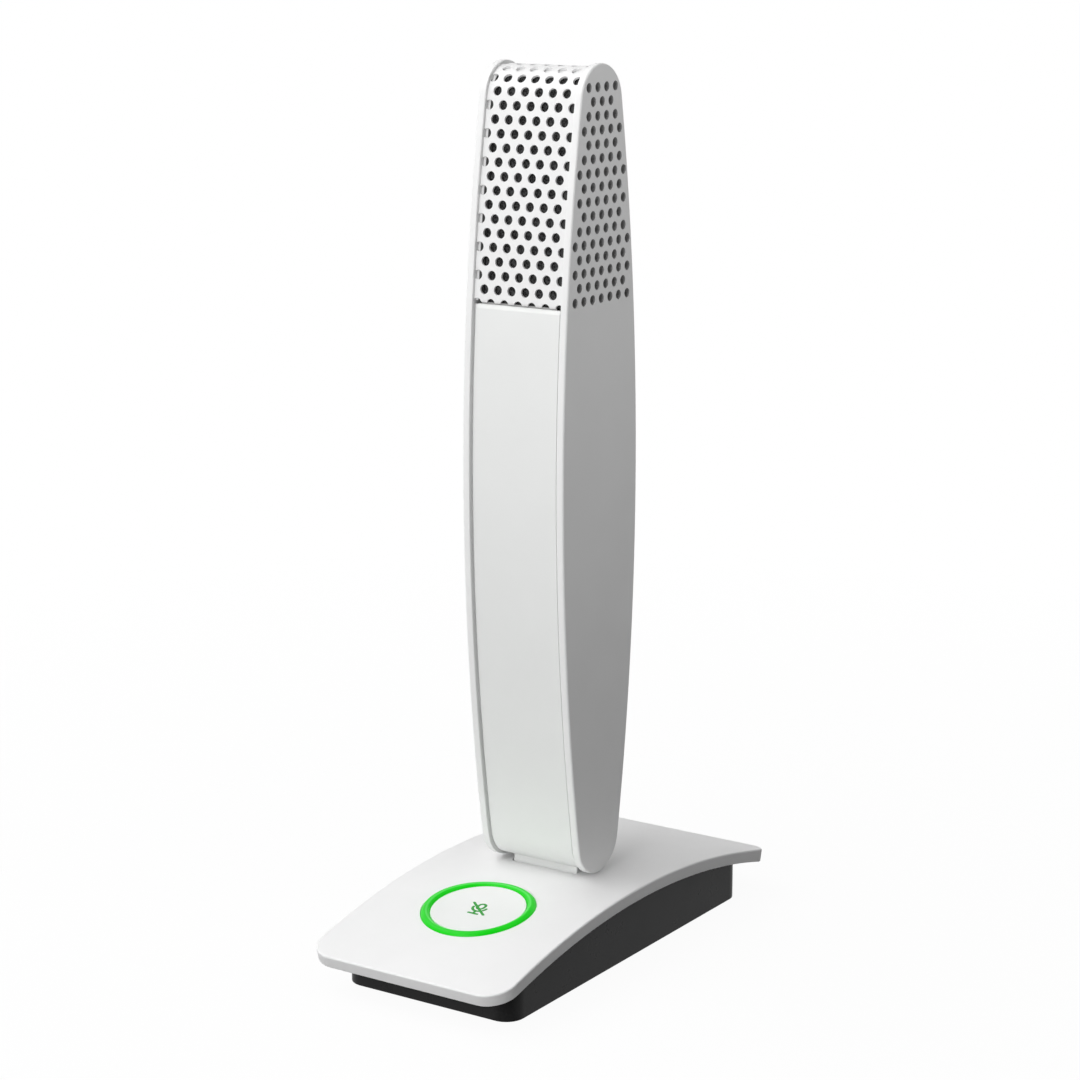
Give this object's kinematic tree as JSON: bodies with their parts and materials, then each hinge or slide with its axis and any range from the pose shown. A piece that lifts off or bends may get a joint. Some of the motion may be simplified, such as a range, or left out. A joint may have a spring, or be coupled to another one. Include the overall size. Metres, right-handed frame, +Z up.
{
  "type": "desktop usb microphone",
  "caption": "Slim desktop USB microphone: a column with a perforated head tilts on a neck over an arched weighted base with a lit mute button.",
  "frame": {"origin": "on the table, under the middle of the bounding box", "axes": "+Z up, -Y towards the speaker (the button's side), +X to the right seen from the front"},
  "size_m": [0.0582, 0.133, 0.2256],
  "materials": {
    "white_cover": "satin white moulded plastic",
    "white_grille": "satin white paint on perforated sheet",
    "white_panel": "fine satin white plastic",
    "white_base": "satin white plastic",
    "white_button": "satin white plastic",
    "black_tray": "fine-grained black plastic",
    "black_plastic": "plain black plastic",
    "foam": "open-cell black foam",
    "rubber": "matte black rubber",
    "capsule_metal": "bead-blasted metal",
    "circuit_board": "green solder mask",
    "steel": "zinc-plated steel",
    "ring_light": "green lit light guide",
    "led_white": "lamp bodies"
  },
  "bodies": {
    "base": {"neck": "white_panel", "neck_screw_1": "steel", "neck_screw_2": "steel", "base_plate": "white_base", "light_ring": "ring_light", "button_board": "circuit_board", "button_board_screw_1": "steel", "button_board_screw_2": "steel", "button_board_screw_3": "steel", "status_led_1": "led_white", "status_led_2": "led_white", "status_led_3": "led_white", "status_led_4": "led_white", "mute_switch": "black_plastic", "base_tray": "black_tray", "rubber_foot_1": "rubber", "rubber_foot_2": "rubber", "rubber_foot_3": "rubber", "rubber_foot_4": "rubber", "tray_screw_1": "steel", "tray_screw_2": "steel", "tray_screw_3": "steel", "tray_screw_4": "steel", "ballast_block": "steel", "main_board": "circuit_board", "main_board_screw_1": "steel", "main_board_screw_2": "steel", "main_board_screw_3": "steel", "usb_socket": "steel", "usb_tongue": "black_plastic"},
    "column": {"side_cover_left": "white_cover", "side_cover_right": "white_cover", "grille": "white_grille", "front_panel": "white_panel", "rear_panel": "white_panel", "inner_frame": "black_plastic", "foam_windscreen": "foam", "capsule": "capsule_metal", "capsule_mount": "rubber", "capsule_lead": "rubber", "preamp_board": "circuit_board", "preamp_screw_1": "steel", "preamp_screw_2": "steel", "hinge_pin": "steel", "friction_washer_left": "black_plastic", "friction_washer_right": "black_plastic"},
    "button": {"mute_button": "white_button", "switch_plunger": "black_plastic"}
  },
  "joints": [
    {"name": "column_tilt", "type": "hinge", "parent": "base", "child": "column", "pos_m": [0, 0, 0.03002], "axis": [-1, 0, 0], "range_deg": [-5, 20]},
    {"name": "mute_press", "type": "slide", "parent": "base", "child": "button", "axis": [0, 0.146, -0.9893], "range_m": [0, 0.0008], "stiffness_N_per_m": 2800, "springref_m": -0.0003}
  ]
}
